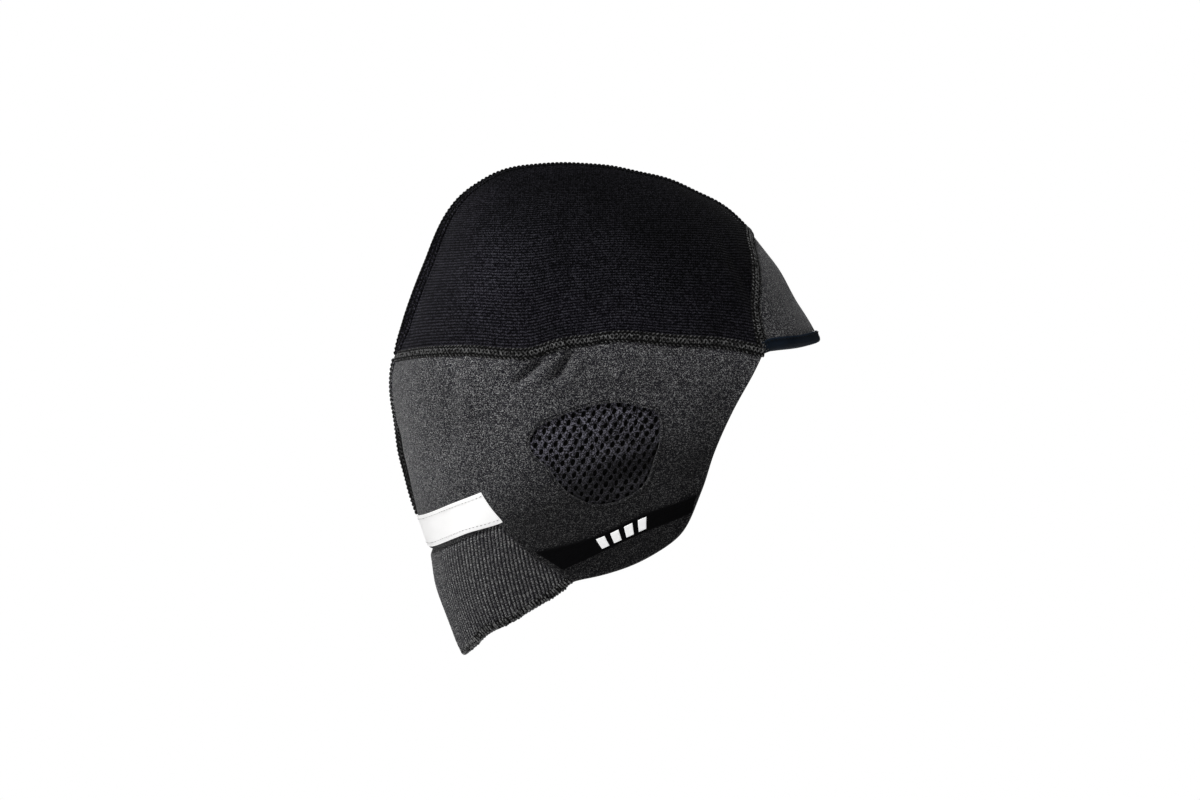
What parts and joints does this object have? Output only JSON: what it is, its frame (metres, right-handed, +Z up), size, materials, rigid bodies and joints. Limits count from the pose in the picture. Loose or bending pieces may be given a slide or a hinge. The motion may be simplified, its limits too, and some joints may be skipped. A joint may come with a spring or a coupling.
{
  "type": "under-helmet winter cap",
  "caption": "Under-helmet winter cap with a peaked brow, ear flaps with mesh over the ears, a ribbed nape warmer and a reflective strip across the back; open at the face.",
  "frame": {"origin": "middle of the wearer's head at the level of the seam between crown and sides, which is the head mount", "axes": "+X forwards, +Y to the wearer's left, +Z up; the cap is symmetric about the plane Y = 0"},
  "size_m": [0.2159, 0.1566, 0.2459],
  "materials": {
    "crown_jersey": "fine matte jersey knit, horizontal rows",
    "heather_knit": "heathered charcoal knit, brushed inside",
    "rib_knit": "matte ribbed knit, charcoal",
    "ear_mesh_knit": "open spacer mesh with oval holes",
    "seam_thread": "matte polyester thread in flatlock rows",
    "brow_tape": "glossy folded elastic tape, black-navy",
    "elastic_band": "dense woven elastic, near black",
    "band_print": "matte white transfer print of plain bars",
    "reflective_film": "bright white reflective tape, stitched border"
  },
  "bodies": {
    "root": {"crown_panel_right": "crown_jersey", "crown_panel_left": "crown_jersey", "crown_centre_seam": "seam_thread", "brow_panel": "heather_knit", "brow_seam": "seam_thread", "brow_binding": "brow_tape", "crown_seam_right": "seam_thread", "crown_seam_left": "seam_thread", "side_panel_right": "heather_knit", "side_panel_left": "heather_knit", "back_seam": "seam_thread", "ear_mesh_right": "ear_mesh_knit", "ear_mesh_left": "ear_mesh_knit", "mesh_seam_right": "seam_thread", "mesh_seam_left": "seam_thread", "flap_band_right": "elastic_band", "flap_band_left": "elastic_band", "band_mark_right": "band_print", "band_mark_left": "band_print", "nape_rib": "rib_knit", "rib_seam_right": "seam_thread", "rib_seam_left": "seam_thread", "nape_seam": "seam_thread", "nape_hem": "rib_knit", "reflective_strip": "reflective_film"}
  },
  "joints": []
}
